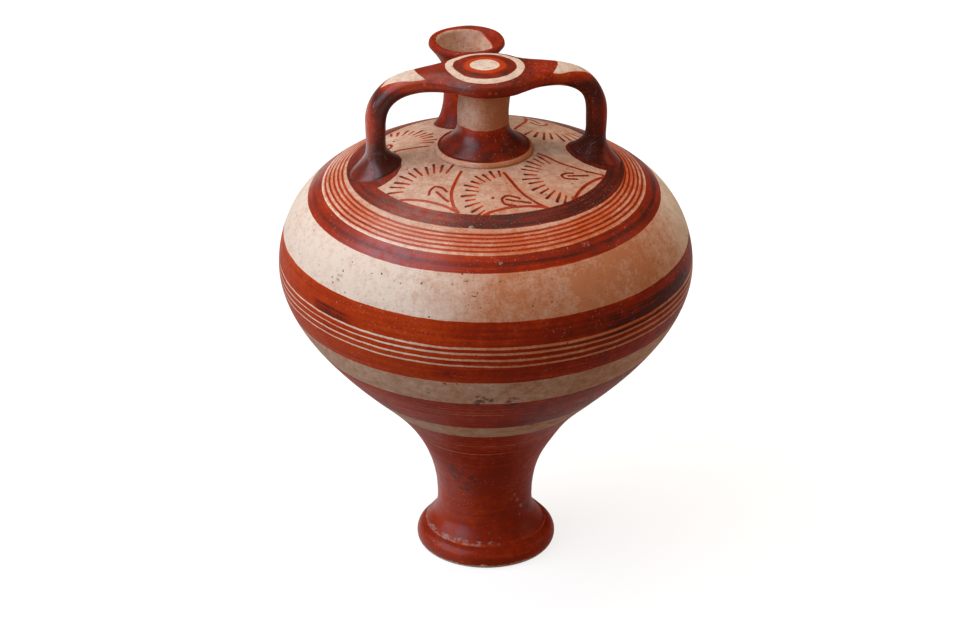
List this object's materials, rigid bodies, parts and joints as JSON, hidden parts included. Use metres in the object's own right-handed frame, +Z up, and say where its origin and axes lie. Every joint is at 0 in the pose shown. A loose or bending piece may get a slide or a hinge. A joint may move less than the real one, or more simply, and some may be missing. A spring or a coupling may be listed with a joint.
{
  "type": "stirrup jar",
  "caption": "Closed round jar on a slender stem and foot, with a false neck under a domed disc, strap handles at its sides and a separate flared spout.",
  "frame": {"origin": "centre of the foot's resting ring, on the surface that the jar stands on", "axes": "+Z up the jar's axis; the handles lie along X, the right one at +X; the spout stands near +Y"},
  "size_m": [0.139, 0.139, 0.1774],
  "materials": {
    "red_slip": "lustrous red slip on fired clay, with wear and bands of bare clay",
    "dark_slip": "lustrous dark red-brown slip on fired clay",
    "bare_clay": "smoothed pale fired clay, painted with red and dark bands"
  },
  "bodies": {
    "root": {"foot": "red_slip", "stem": "red_slip", "lower_body": "red_slip", "upper_body": "bare_clay", "neck_collar": "bare_clay", "false_neck": "bare_clay", "false_mouth_disc": "dark_slip", "handle_right": "dark_slip", "handle_left": "dark_slip", "handle_root_right": "dark_slip", "handle_root_left": "dark_slip", "spout": "dark_slip", "spout_root": "dark_slip"}
  },
  "joints": []
}
